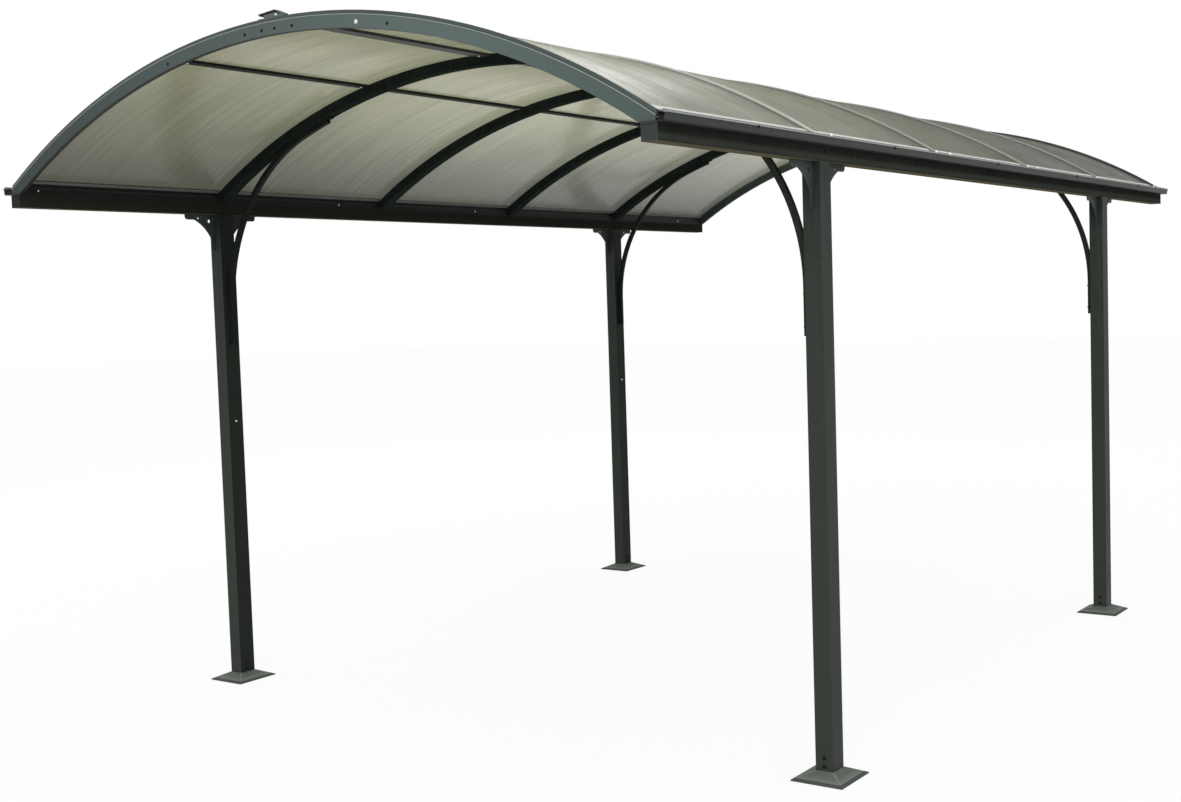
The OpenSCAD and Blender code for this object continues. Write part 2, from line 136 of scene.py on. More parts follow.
def carried_profile(section, path, side, up):
    """A closed section carried along a path: point = path point + x * side + y * up, with both ends closed.

    The section runs anticlockwise seen from the path's end, so that its faces point outwards."""
    section, path = np.asarray(section, float), np.asarray(path, float)
    side, up = np.broadcast_to(side, path.shape), np.broadcast_to(up, path.shape)
    points = path[:, None] + section[None, :, :1] * side[:, None] + section[None, :, 1:] * up[:, None]
    rows, columns = points.shape[:2]
    first = np.arange(columns)[::-1].tolist()
    last = ((rows - 1) * columns + np.arange(columns)).tolist()
    return points, ring_faces(rows, columns).tolist() + [first, last]


def joined(parts):
    """Several point grids and face lists as one: each part's faces are shifted by the points before it."""
    points, faces, before = [], [], 0
    for grid, part_faces in parts:
        flat_grid = np.asarray(grid).reshape(-1, 3)
        points.append(flat_grid)
        faces += [[int(v) + before for v in face] for face in part_faces]
        before += len(flat_grid)
    return np.concatenate(points), faces


print("one ring of quads has", len(ring_faces(2, 24)), "faces")

# %% [markdown]
# ## Helpers for materials
#
# A material here is a small graph: coordinates of the part in metres, a few noises, and the shader. An effect that
# several finishes share, such as the mottling of powder coat, becomes a node group with named inputs and outputs,
# so that one change reaches every part that uses it.

# %% Node helpers
def add(tree, kind, inputs=None, **settings):
    """Adds one node. Its settings are properties; its inputs are numbers, colours or other nodes' outputs."""
    node = tree.nodes.new(kind)
    for key, value in settings.items():
        setattr(node, key, value)
    for key, value in (inputs or {}).items():
        if isinstance(value, bpy.types.NodeSocket):
            tree.links.new(value, node.inputs[key])
        else:
            node.inputs[key].default_value = value
    return node


def sum_of(tree, operation, first, second=0.0, third=0.0, clamp=False):
    """One arithmetic step on two or three values, as a node's output."""
    node = add(tree, "ShaderNodeMath", {0: first, 1: second, 2: third}, operation=operation)
    node.use_clamp = clamp
    return node.outputs[0]


def blend_colour(tree, factor, first, second, mode="MIX"):
    """The first colour where the factor is 0 and the second where it is 1."""
    node = tree.nodes.new("ShaderNodeMix")
    node.data_type, node.blend_type = "RGBA", mode
    for index, value in ((0, factor), (6, first), (7, second)):
        if isinstance(value, bpy.types.NodeSocket):
            tree.links.new(value, node.inputs[index])
        else:
            node.inputs[index].default_value = value
    return node.outputs[2]


def noise(tree, vector, scale, detail=3.0, roughness=0.55):
    """A smooth noise between 0 and 1, scale waves to the metre."""
    return add(tree, "ShaderNodeTexNoise", {"Vector": vector, "Scale": scale, "Detail": detail,
                                            "Roughness": roughness}).outputs["Fac"]


def ramp(tree, value, low, high, to_low=0.0, to_high=1.0):
    """The value's place between low and high, eased at both ends, as a number from to_low to to_high."""
    node = add(tree, "ShaderNodeMapRange", {"Value": value, "From Min": low, "From Max": high, "To Min": to_low,
                                            "To Max": to_high}, interpolation_type="SMOOTHSTEP")
    return node.outputs[0]


def stretched(tree, parts, scales):
    """The place with its x, y and z each multiplied by a number: over 1 squeezes a pattern, under 1 draws it out."""
    scaled = {axis: sum_of(tree, "MULTIPLY", parts[axis], scale) for axis, scale in enumerate(scales)}
    return add(tree, "ShaderNodeCombineXYZ", scaled).outputs[0]


def new_group(name, inputs, outputs):
    """An empty node group with named sockets, and its two end nodes."""
    group = bpy.data.node_groups.new(name, "ShaderNodeTree")
    for label, kind, default in inputs:
        socket = group.interface.new_socket(label, in_out="INPUT", socket_type=kind)
        if default is not None:
            socket.default_value = default
    for label, kind in outputs:
        group.interface.new_socket(label, in_out="OUTPUT", socket_type=kind)
    return group, group.nodes.new("NodeGroupInput").outputs, group.nodes.new("NodeGroupOutput").inputs


COLOUR, NUMBER, VECTOR = "NodeSocketColor", "NodeSocketFloat", "NodeSocketVector"
print("helpers ready")

# %% [markdown]
# ## Powder coat
#
# The frame is steel and aluminium under a dark powder coat that has stood outdoors for years. Close up it has the
# fine pebbled skin of baked powder; from further off it is uneven, duller where rain has left a film. One flat
# colour would look like plastic, so the group mixes a broad noise, a fine noise and a pebble height.

# %% Group: powder coat
powder, given, out = new_group(
    "powder_coat",
    [("Vector", VECTOR, None), ("Paint", COLOUR, (0.05, 0.05, 0.05, 1)), ("Mottle", NUMBER, 0.3),
     ("Roughness", NUMBER, 0.45)],
    [("Colour", COLOUR), ("Roughness", NUMBER), ("Height", NUMBER)])
broad = noise(powder, given["Vector"], 3.1, 4.0)
fine = noise(powder, given["Vector"], 46.0, 3.0)
both = sum_of(powder, "MULTIPLY_ADD", fine, 0.4, sum_of(powder, "MULTIPLY", broad, 0.6))
off_middle = sum_of(powder, "SUBTRACT", both, 0.5)
swing = sum_of(powder, "MULTIPLY", off_middle, sum_of(powder, "MULTIPLY", given["Mottle"], 4.0))
level = sum_of(powder, "ADD", swing, 1.0)
scaled = add(powder, "ShaderNodeVectorMath", {0: given["Paint"], "Scale": level}, operation="SCALE")
powder.links.new(scaled.outputs[0], out["Colour"])
off_broad = sum_of(powder, "SUBTRACT", broad, 0.5)
powder.links.new(sum_of(powder, "MULTIPLY_ADD", off_broad, 0.25, given["Roughness"]), out["Roughness"])
powder.links.new(noise(powder, given["Vector"], 700.0, 2.0), out["Height"])
print("group", powder.name)

# %% [markdown]
# ## Rain streaks and dust
#
# Water runs down posts and down the roof and leaves long thin marks; dust settles on faces that look up. Streaks
# are a noise that is squeezed across the run and stretched along it. Dust is the upward part of the surface's own
# direction, broken up by a noise. Both are masks, so each finish decides how strongly they show.

# %% Groups: streaks, dust and bands
streaks, given, out = new_group(
    "rain_streaks",
    [("Vector", VECTOR, None), ("Across", NUMBER, 60.0), ("Along", NUMBER, 2.0)],
    [("Mask", NUMBER)])
parts = add(streaks, "ShaderNodeSeparateXYZ", {0: given["Vector"]}).outputs
drawn_out = stretched(streaks, parts, (given["Across"], given["Across"], given["Along"]))
streaks.links.new(ramp(streaks, noise(streaks, drawn_out, 1.0, 4.0, 0.6), 0.45, 0.75), out["Mask"])

dust, given, out = new_group(
    "dust_on_top", [("Vector", VECTOR, None), ("Normal", VECTOR, None)], [("Mask", NUMBER)])
upward = add(dust, "ShaderNodeSeparateXYZ", {0: given["Normal"]}).outputs[2]
patchy = ramp(dust, noise(dust, given["Vector"], 14.0, 4.0), 0.25, 0.7, 0.35, 1.0)
dust.links.new(sum_of(dust, "MULTIPLY", ramp(dust, upward, 0.2, 0.95), patchy), out["Mask"])

band, given, out = new_group(
    "band", [("Value", NUMBER, 0.0), ("Low", NUMBER, 0.0), ("High", NUMBER, 1.0), ("Soft", NUMBER, 0.001)],
    [("Mask", NUMBER)])
rising = sum_of(band, "DIVIDE", sum_of(band, "SUBTRACT", given["Value"], given["Low"]), given["Soft"], clamp=True)
falling = sum_of(band, "DIVIDE", sum_of(band, "SUBTRACT", given["High"], given["Value"]), given["Soft"], clamp=True)
band.links.new(sum_of(band, "MULTIPLY", rising, falling), out["Mask"])
print("groups", [g.name for g in bpy.data.node_groups])

# %% [markdown]
# ## Height over the roof's centre line
#
# Every arched part is a turn about one long line under the roof. A point's distance from that line tells which
# skin it is on: the ribs' underside, a sheet's lower or upper face, or the top of a cover strip. The distance is
# the square root of the sideways distance squared plus the height over the line squared.

# %% Group: distance from the roof's centre
ROOF_CENTRE = -0.086
RIB_UNDER, SHEET_UNDER, SHEET_TOP, STRIP_TOP = 2.585, 2.623, 2.629, 2.641
arc, given, out = new_group("roof_radius", [("Vector", VECTOR, None)], [("Radius", NUMBER)])
parts = add(arc, "ShaderNodeSeparateXYZ", {0: given["Vector"]}).outputs
rise = sum_of(arc, "SUBTRACT", parts[2], ROOF_CENTRE)
squares = sum_of(arc, "MULTIPLY_ADD", parts[0], parts[0], sum_of(arc, "MULTIPLY", rise, rise))
arc.links.new(sum_of(arc, "SQRT", squares), out["Radius"])
print("sheets lie between", SHEET_UNDER, "and", SHEET_TOP, "m from the centre line")

# %% [markdown]
# ## One recipe for the painted parts
#
# Every painted part follows the same order: the coat, then streaks, then dust, then any band that the part shows at
# one place, such as painted shade on an inner face or the painted highlight on the roll of a gutter's edge. The
# recipe is a function, so that each part's call reads like a paint card.

# %% The paint recipe
RAIN_FILM, SETTLED_DUST = (0.12, 0.125, 0.11, 1), (0.22, 0.21, 0.18, 1)


def painted(name, paint, roughness=0.45, mottle=0.3, streak=0.25, dusty=0.3, bands=(), pebble=0.12, gloss=0.15):
    """A powder-coated finish. Each band is axis (x, y, z or r), low, high, softness, colour and strength."""
    material = bpy.data.materials.new(name)
    material.use_nodes = True
    tree = material.node_tree
    shader = tree.nodes["Principled BSDF"]
    coordinates = add(tree, "ShaderNodeTexCoord")
    place = coordinates.outputs["Object"]
    coat = add(tree, "ShaderNodeGroup", node_tree=powder)
    tree.links.new(place, coat.inputs["Vector"])
    coat.inputs["Paint"].default_value = (*paint, 1)
    coat.inputs["Mottle"].default_value = mottle
    coat.inputs["Roughness"].default_value = roughness
    runs = add(tree, "ShaderNodeGroup", node_tree=streaks)
    tree.links.new(place, runs.inputs["Vector"])
    film = add(tree, "ShaderNodeGroup", node_tree=dust)
    tree.links.new(place, film.inputs["Vector"])
    tree.links.new(coordinates.outputs["Normal"], film.inputs["Normal"])
    run_share = sum_of(tree, "MULTIPLY", runs.outputs["Mask"], streak)
    colour = blend_colour(tree, run_share, coat.outputs["Colour"], RAIN_FILM)
    dust_share = sum_of(tree, "MULTIPLY", film.outputs["Mask"], dusty)
    colour = blend_colour(tree, dust_share, colour, SETTLED_DUST)
    axes = dict(zip("xyz", add(tree, "ShaderNodeSeparateXYZ", {0: place}).outputs))
    if any(item[0] == "r" for item in bands):
        distance = add(tree, "ShaderNodeGroup", node_tree=arc)
        tree.links.new(place, distance.inputs["Vector"])
        axes["r"] = distance.outputs["Radius"]
    for axis, low, high, soft, shade, strength in bands:
        stripe = add(tree, "ShaderNodeGroup", node_tree=band)
        tree.links.new(axes[axis], stripe.inputs["Value"])
        for key, value in (("Low", low), ("High", high), ("Soft", soft)):
            stripe.inputs[key].default_value = value
        share = sum_of(tree, "MULTIPLY", stripe.outputs["Mask"], strength)
        colour = blend_colour(tree, share, colour, (*shade, 1))
    tree.links.new(colour, shader.inputs["Base Color"])
    dull = sum_of(tree, "MULTIPLY_ADD", film.outputs["Mask"], 0.3, coat.outputs["Roughness"], clamp=True)
    tree.links.new(dull, shader.inputs["Roughness"])
    shader.inputs["Specular IOR Level"].default_value = gloss
    bump = add(tree, "ShaderNodeBump", {"Height": coat.outputs["Height"], "Strength": pebble, "Distance": 0.0006})
    tree.links.new(bump.outputs[0], shader.inputs["Normal"])
    return material


def dress(material, *names):
    """Puts the material in every slot of the named nodes."""
    for name in names:
        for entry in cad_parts[name].material_slots:
            entry.material = material
    print(material.name, "on", len(names), "nodes")


corners = [end + "_" + side for end in ("front", "rear") for side in ("left", "right")]

# %% [markdown]
# ## Posts, beams, braces and gussets
#
# These are the darkest parts. The posts are a green-grey with faint vertical runs, paler towards the foot, with
# painted shade at the top under the beams and on their inner faces. The beams are nearly black, with painted shade on
# their inner faces; the paler lower part of their sides and their brownish undersides are a painted reflection of the
# ground. The braces are a shade lighter on the right and darker on the left with painted shade. The gussets have a
# paler coat, which is painted light, and painted shade behind the posts, where no light falls. These changes are
# bands in the paint: two of them, one to a side, cover the faces at one distance from the middle.

# %% Finishes of the standing frame
POST_X, POST_Y, POST_HALF_X, POST_HALF_Y = 1.43, 1.5, 0.032, 0.038
POST_IN = POST_X - POST_HALF_X
BEAM_UNDER, BEAM_TOP, INNER_WALL = 2.032, 2.082, 1.411


def bands_inside(distance, reach, soft, shade, strength):
    """One thin band on each side of the carport: from distance - reach to distance + reach away from the middle."""
    return [("x", side * distance - reach, side * distance + reach, soft, shade, strength) for side in (-1, 1)]


# Post bands: paler towards the foot, painted shade at the top under the beams, splashed dust at the foot, and painted
# shade on the inner faces.
post_bands = [("z", -1.0, 1.9, 1.2, (0.0425, 0.0505, 0.0430), 0.9),
              ("z", 1.86, 3.0, 0.12, (0.022, 0.028, 0.024), 0.5),
              ("z", 0.0, 0.11, 0.08, (0.080, 0.078, 0.066), 0.35),
              *bands_inside(POST_IN, 0.0015, 0.0004, (0.012, 0.015, 0.012), 0.8)]
dress(painted("post_coat", (0.036, 0.043, 0.037), 0.5, 0.22, 0.12, 0.3, post_bands, gloss=0.05),
      *["post_" + c for c in corners])

# Beam bands: a paler lower part of the sides and a brownish underside, both a painted reflection of the ground, and
# painted shade on the inner faces.
beam_bands = [("z", BEAM_UNDER - 0.002, BEAM_UNDER + 0.028, 0.020, (0.070, 0.073, 0.063), 0.75),
              *bands_inside(INNER_WALL, 0.0025, 0.0005, (0.0195, 0.0210, 0.0175), 0.85),
              ("z", BEAM_UNDER - 0.002, BEAM_UNDER + 0.0005, 0.0003, (0.130, 0.116, 0.074), 0.85)]
dress(painted("beam_coat", (0.0210, 0.0240, 0.0205), 0.6, 0.3, 0.05, 0.3, beam_bands, gloss=0.0),
      "beam_left", "beam_right")

# Cap bands: painted shade darkens the left caps, and a painted highlight lights their top edge.
cap_bands = [("x", -2.0, 0.0, 0.01, (0.008, 0.012, 0.010), 0.95),
             ("z", BEAM_TOP - 0.0015, BEAM_TOP + 0.001, 0.0005, (0.25, 0.26, 0.25), 0.8)]
dress(painted("beam_cap_coat", (0.041, 0.049, 0.045), 0.5, 0.2, 0.1, 0.3, cap_bands, gloss=0.1), "beam_caps")

# Painted shade darkens the braces on the left.
brace_bands = [("x", -1.5, 0.0, 0.01, (0.011, 0.014, 0.012), 0.8)]
dress(painted("brace_coat", (0.026, 0.033, 0.028), 0.5, 0.3, 0.1, 0.3, brace_bands, gloss=0.02),
      *["brace_" + c for c in corners])

# The gussets' paler coat is painted light, and the bands behind the posts are painted shade.
BEHIND_POST = 0.25
gusset_bands = [("y", end * POST_Y + POST_HALF_Y, end * POST_Y + BEHIND_POST, 0.01, (0.021, 0.021, 0.019), 0.75)
                for end in (-1, 1)]
dress(painted("gusset_coat", (0.040, 0.052, 0.047), 0.45, 0.3, 0.1, 0.3, gusset_bands, gloss=0.1),
      *["gussets_" + c for c in corners])

# %% [markdown]
# ## Gutters
#
# The gutter is a long folded profile. Its outer wall is mid grey, its rolled edge carries a painted highlight, and
# the trough is nearly black with painted shade. The dark floor, the bright edge and the dark hem over it are bands of
# height: painted shade, a painted highlight and painted shade. The inner wall is darkened with painted shade too.

# %% Finish of the gutters
LIP_TOP = 2.1090
# Gutter bands: painted shade on the trough floor, a painted highlight on the rolled edge, and painted shade on the
# hem above it and on the inner wall.
gutter_bands = [("z", BEAM_TOP + 0.001, BEAM_TOP + 0.0045, 0.001, (0.016, 0.016, 0.013), 0.8),
                ("z", LIP_TOP - 0.005, LIP_TOP + 0.0012, 0.0012, (0.36, 0.38, 0.37), 0.85),
                ("z", LIP_TOP + 0.0012, LIP_TOP + 0.011, 0.0003, (0.010, 0.011, 0.010), 0.95),
                *bands_inside(INNER_WALL, 0.0025, 0.0005, (0.009, 0.010, 0.009), 0.95)]
dress(painted("gutter_coat", (0.037, 0.042, 0.038), 0.45, 0.25, 0.1, 0.1, gutter_bands, gloss=0.1),
      "gutter_left", "gutter_right")

# %% [markdown]
# ## Arches, ribs, cover strips and purlins
#
# The front arch is a grey-green that grows paler to the right with painted light. A painted highlight makes a bright
# line where its top edge meets the sheet, and painted shade makes a dark line along its lower edge. The ribs inside
# are in shade and look nearly black, and so do the purlins, so their coats are darker: painted shade. The cover
# strips between the bays are pale with a painted highlight for their glare, less so towards the rear, and the end
# ones are dark. The clip's pale coat is painted light, as pale as the lit end of the arch. A change that goes on to
# the end of a part is a band whose far limit lies beyond the carport.

# %% Finishes of the roof frame
BEYOND = 9.0
# Arch bands: painted light makes it paler to the right, a painted highlight runs along the top edge, and painted
# shade runs along the lower edge.
arch_bands = [("x", -1.75, BEYOND, 2.3, (0.108, 0.142, 0.136), 1.0),
              ("x", 0.75, BEYOND, 0.7, (0.078, 0.104, 0.099), 0.9),
              ("r", SHEET_TOP - 0.0025, SHEET_TOP + 0.003, 0.001, (0.42, 0.46, 0.44), 0.75),
              ("r", RIB_UNDER - 0.002, RIB_UNDER + 0.0006, 0.0004, (0.014, 0.013, 0.009), 0.95)]
dress(painted("arch_coat", (0.029, 0.041, 0.038), 0.45, 0.18, 0.1, 0.3, arch_bands, gloss=0.1),
      "front_arch", "rear_arch")
# The ribs' near-black coat is painted shade.
dress(painted("rib_coat", (0.0150, 0.0200, 0.0175), 0.7, 0.3, 0.05, 0.15, gloss=0.0),
      *["rib_%d" % n for n in range(1, 5)])
# The cover strips' pale coat is a painted highlight for their glare, weaker towards the rear.
strip_bands = [("y", -1.0, BEYOND, 0.5, (0.36, 0.38, 0.34), 0.95)]
dress(painted("strip_coat", (0.60, 0.63, 0.58), 0.3, 0.1, 0.05, 0.05, strip_bands, gloss=0.5),
      *["cover_strip_%d" % n for n in range(1, 5)])
dress(painted("end_strip_coat", (0.070, 0.088, 0.082), 0.42, 0.22, 0.1, 0.3),
      "cover_strip_front", "cover_strip_rear")
# The purlins' near-black coat is painted shade.
dress(painted("purlin_coat", (0.016, 0.019, 0.016), 0.5, 0.3, 0.05, 0.15, gloss=0.04),
      "purlin_left", "purlin_right")
dress(painted("ridge_coat", (0.040, 0.043, 0.039), 0.42, 0.3, 0.05, 0.15), "purlin_ridge")
# The clip's pale coat is painted light, matched to the lit right end of the arch.
clip_coat = painted("clip_coat", (0.120, 0.150, 0.142), 0.42, 0.2, 0.15, 0.35)
dress(clip_coat, "ridge_clips")

# %% [markdown]
# ## Foot covers and anchor plates
#
# The covers are pressed or moulded caps, paler than the posts, with a dark rim along the floor, and paler ridges and
# lower slopes that are painted highlights.
# The rim is painted higher than the solid's own, because the photograph shows a wider border. Under the covers lie
# zinc-coated plates, which only show from below. Zinc has a spangle of flat crystals, which a Voronoi pattern gives.

# %% Finishes of the feet
RIDGE_SHIFT, RIDGE_REACH = 0.007, 0.007
PAINTED_RIM = 0.009


def foot_cover_finish(name):
    """The paint recipe with a dark flat rim, and painted highlights on the ridges and lower edges of the four slopes
    of each cover.

    A ridge runs where the distance from the post's middle along the carport, less that across it, is the shift."""
    material = painted(name, (0.125, 0.155, 0.138), 0.55, 0.3, 0.1, 0.15,
                       [("z", 0.0, PAINTED_RIM + 0.0002, 0.0008, (0.075, 0.082, 0.072), 0.9)], pebble=0.2)
    tree = material.node_tree
    shader = tree.nodes["Principled BSDF"]
    place = next(node for node in tree.nodes if node.bl_idname == "ShaderNodeTexCoord").outputs["Object"]
    x, y, z = add(tree, "ShaderNodeSeparateXYZ", {0: place}).outputs
    across = sum_of(tree, "ABSOLUTE", sum_of(tree, "SUBTRACT", sum_of(tree, "ABSOLUTE", x), POST_X))
    along = sum_of(tree, "ABSOLUTE", sum_of(tree, "SUBTRACT", sum_of(tree, "ABSOLUTE", y), POST_Y))
    longer = sum_of(tree, "SUBTRACT", along, across)
    off_ridge = sum_of(tree, "ABSOLUTE", sum_of(tree, "SUBTRACT", longer, RIDGE_SHIFT))
    ridge = ramp(tree, off_ridge, 0.0, RIDGE_REACH, 0.55, 0.0)
    slope = ramp(tree, z, PAINTED_RIM - 0.0002, PAINTED_RIM + 0.001)
    low_slope = ramp(tree, z, PAINTED_RIM, 0.020, 0.35, 0.0)
    # Painted highlights: paler ridges and lower slopes on each cover.
    pale = sum_of(tree, "MULTIPLY", sum_of(tree, "MAXIMUM", ridge, low_slope), slope)
    painted_colour = shader.inputs["Base Color"].links[0].from_socket
    tree.links.new(blend_colour(tree, pale, painted_colour, (0.30, 0.34, 0.31, 1)), shader.inputs["Base Color"])
    return material


dress(foot_cover_finish("foot_cover_coat"), *["foot_cover_" + c for c in corners])


def zinc(name, base, roughness=0.38):
    """Zinc on steel: a metal whose shade and roughness change from one crystal to the next."""
    material = bpy.data.materials.new(name)
    material.use_nodes = True
    tree = material.node_tree
    shader = tree.nodes["Principled BSDF"]
    place = add(tree, "ShaderNodeTexCoord").outputs["Object"]
    crystals = add(tree, "ShaderNodeTexVoronoi", {"Vector": place, "Scale": 130.0}).outputs["Color"]
    shade = add(tree, "ShaderNodeSeparateColor", {0: crystals}).outputs[0]
    colour = blend_colour(tree, shade, (*[0.82 * c for c in base], 1), (*[min(1.0, 1.12 * c) for c in base], 1))
    grime = ramp(tree, noise(tree, place, 38.0, 4.0), 0.5, 0.8, 0.0, 0.35)
    tree.links.new(blend_colour(tree, grime, colour, (0.16, 0.14, 0.11, 1)), shader.inputs["Base Color"])
    tree.links.new(ramp(tree, shade, 0.0, 1.0, roughness - 0.08, roughness + 0.1), shader.inputs["Roughness"])
    shader.inputs["Metallic"].default_value = 0.85
    grain = noise(tree, place, 400.0, 2.0)
    bump = add(tree, "ShaderNodeBump", {"Height": grain, "Strength": 0.1, "Distance": 0.0004})
    tree.links.new(bump.outputs[0], shader.inputs["Normal"])
    return material


dress(zinc("zinc_coat", (0.52, 0.53, 0.54)), "anchor_feet")

# %% [markdown]
# ## The roof sheets
#
# The sheets are clear fluted plastic gone grey with age. They let a little tinted light through and mirror the pale
# floor and the ribs beside them, the more the flatter one looks along them. That is why the middle of the roof is
# bright from below and the eaves are dark. Inside, this is also painted into the colour: painted light makes the
# inner skin brighter towards the rear, and painted reflection makes it darker towards the eaves and corners. An alpha
# cut-out would show what lies behind sharply and lose this, so the shader transmits light. Its index of refraction is
# well below that of solid plastic, because a fluted sheet is mostly air. Inside, the skin is still smooth, with a
# fine line at each flute. Outside, weather has made it dull, most of all on the rear bays, and painted reflection
# makes its colour darker towards the rear and over the middle of the roof. The roof's own radius tells the two skins
# apart, so each has its colour and roughness, and long noises down the fall give both their run marks and lines.

# %% Finish of the sheets
FLUTE_PITCH = 0.010
SHEET_EAVE, SHEET_CORNER = 1.45, 1.42


def sheet_finish(name):
    """Clear aged plastic: tinted transmission, fine flutes, marks down the fall, eaves darkened with painted
    reflection, painted light towards the rear inside, and a dull outside.
    """
    material = bpy.data.materials.new(name)
    material.use_nodes = True
    tree = material.node_tree
    shader = tree.nodes["Principled BSDF"]
    place = add(tree, "ShaderNodeTexCoord").outputs["Object"]
    parts = add(tree, "ShaderNodeSeparateXYZ", {0: place}).outputs
    sideways, y = sum_of(tree, "ABSOLUTE", parts[0]), parts[1]
    distance = add(tree, "ShaderNodeGroup", node_tree=arc)
    tree.links.new(place, distance.inputs["Vector"])
    outside = ramp(tree, distance.outputs["Radius"], SHEET_TOP - 0.0015, SHEET_TOP - 0.0005)
    rearward = ramp(tree, y, -1.9, 0.6)

    fall = stretched(tree, parts, (0.9, 8.0, 0.0))
    run_marks = ramp(tree, noise(tree, fall, 1.0, 4.0, 0.55), 0.3, 0.8)
    clouds = ramp(tree, noise(tree, place, 1.3, 3.0), 0.3, 0.7)
    middle = blend_colour(tree, run_marks, (0.425, 0.429, 0.315, 1), (0.370, 0.374, 0.266, 1))
    middle = blend_colour(tree, sum_of(tree, "MULTIPLY", clouds, 0.4), middle, (0.400, 0.407, 0.300, 1))

    # Inside: painted light makes the skin brighter towards the rear, and painted reflection darkens it towards the
    # eaves and corners.
    level = blend_colour(tree, rearward, (1.12, 1.11, 1.05, 1), (1.52, 1.51, 1.50, 1))
    inner = blend_colour(tree, 1.0, middle, level, "MULTIPLY")
    eave = blend_colour(tree, rearward, (0.125, 0.131, 0.115, 1), (0.270, 0.283, 0.260, 1))
    corner = blend_colour(tree, rearward, (0.042, 0.044, 0.038, 1), (0.125, 0.132, 0.118, 1))
    inner = blend_colour(tree, ramp(tree, sideways, 0.3, SHEET_EAVE), inner, eave)
    inner = blend_colour(tree, ramp(tree, sideways, 1.1, SHEET_CORNER, 0.0, 0.6), inner, corner)
    wave = sum_of(tree, "SINE", sum_of(tree, "MULTIPLY", y, 2 * np.pi / FLUTE_PITCH))
    inner = blend_colour(tree, ramp(tree, wave, 0.6, 1.0, 0.0, 0.12), inner, (0.06, 0.062, 0.045, 1))

    # Outside: painted reflection darkens the colour towards the rear and over the middle of the roof.
    outer = blend_colour(tree, 1.0, middle, (1.0, 1.01, 0.93, 1), "MULTIPLY")
    outer = blend_colour(tree, ramp(tree, y, -2.3, 1.4), outer, (0.240, 0.243, 0.203, 1))
    outer = blend_colour(tree, ramp(tree, sideways, 0.4, 1.1, 0.35, 0.0), outer, (0.130, 0.132, 0.112, 1))

    lines = noise(tree, stretched(tree, parts, (1.5, 40.0, 0.0)), 1.0, 2.0, 0.5)
    line_strength = sum_of(tree, "MULTIPLY_ADD", outside, 0.6, 0.3)
    line_level = sum_of(tree, "MULTIPLY_ADD", sum_of(tree, "SUBTRACT", lines, 0.5), line_strength, 1.0)
    skin = blend_colour(tree, outside, inner, outer)
    lined = add(tree, "ShaderNodeVectorMath", {0: skin, "Scale": line_level}, operation="SCALE")
    tree.links.new(lined.outputs[0], shader.inputs["Base Color"])

    inside = sum_of(tree, "MULTIPLY_ADD", run_marks, 0.05, 0.15)
    lengthwise = sum_of(tree, "MULTIPLY_ADD", run_marks, 0.10, ramp(tree, y, -2.6, -0.2, 0.42, 0.72))
    patches = ramp(tree, noise(tree, place, 2.3, 3.0), 0.3, 0.7, -0.06, 0.10)
    lengthwise = sum_of(tree, "ADD", lengthwise, patches)
    worn = sum_of(tree, "SUBTRACT", lengthwise, ramp(tree, sideways, 0.6, SHEET_CORNER, 0.0, 0.22))
    step = sum_of(tree, "MULTIPLY", outside, sum_of(tree, "SUBTRACT", worn, inside))
    tree.links.new(sum_of(tree, "ADD", inside, step), shader.inputs["Roughness"])
    shader.inputs["Transmission Weight"].default_value = 0.7
    shader.inputs["IOR"].default_value = 1.16
    shader.inputs["Specular Tint"].default_value = (0.97, 1.0, 0.88, 1)
    bump = add(tree, "ShaderNodeBump", {"Height": noise(tree, fall, 1.0, 2.0), "Strength": 0.05, "Distance": 0.01})
    tree.links.new(bump.outputs[0], shader.inputs["Normal"])
    return material


dress(sheet_finish("aged_clear_sheet"), *["roof_sheet_%d" % n for n in range(1, 6)])

# %% [markdown]
# ## Screws and bolts
#
# The real fasteners are hexagon heads with a round flange, dark ones to match the paint and bright ones of zinc.
# Each head is one profile turned round its axis, with its rows written in millimetres. The many heads of a kind are
# computed together and make one piece, because a maker buys them as one bag.

# %% Head profiles
flange_screw = np.array([[5.6, -0.5, 0], [5.6, 0.8, 0], [4.9, 1.3, 0], [3.9, 1.4, 1], [3.9, 4.2, 1], [3.3, 4.8, 0],
                         [1.6, 5.0, 0]]) * [MM, MM, 1]
frame_bolt = np.array([[9.0, -0.5, 0], [9.0, 1.4, 0], [8.4, 1.8, 0], [6.8, 1.9, 1], [6.8, 6.6, 1], [5.6, 7.4, 0],
                       [2.5, 7.6, 0]]) * [MM, MM, 1]
dome_screw = np.array([[5.0, -0.4, 0], [5.0, 0.4, 0], [4.6, 1.5, 0], [3.4, 2.5, 0], [1.5, 3.0, 0]]) * [MM, MM, 1]
foot_bolt, beam_bolt, lip_screw = frame_bolt * [0.8, 0.8, 1], frame_bolt * [0.7, 0.7, 1], frame_bolt * [0.75, 1.15, 1]
small_dome, sheet_washer = dome_screw * [0.8, 0.8, 1], dome_screw * [1.5, 1.2, 1]
dark_screws = painted("dark_screw_coat", (0.014, 0.015, 0.014), 0.6, 0.3, 0.1, 0.1, gloss=0.03)
bright_screws = zinc("bright_screw_zinc", (0.78, 0.78, 0.76), 0.3)
print("head heights", flange_screw[-1, 1], frame_bolt[-1, 1], dome_screw[-1, 1])

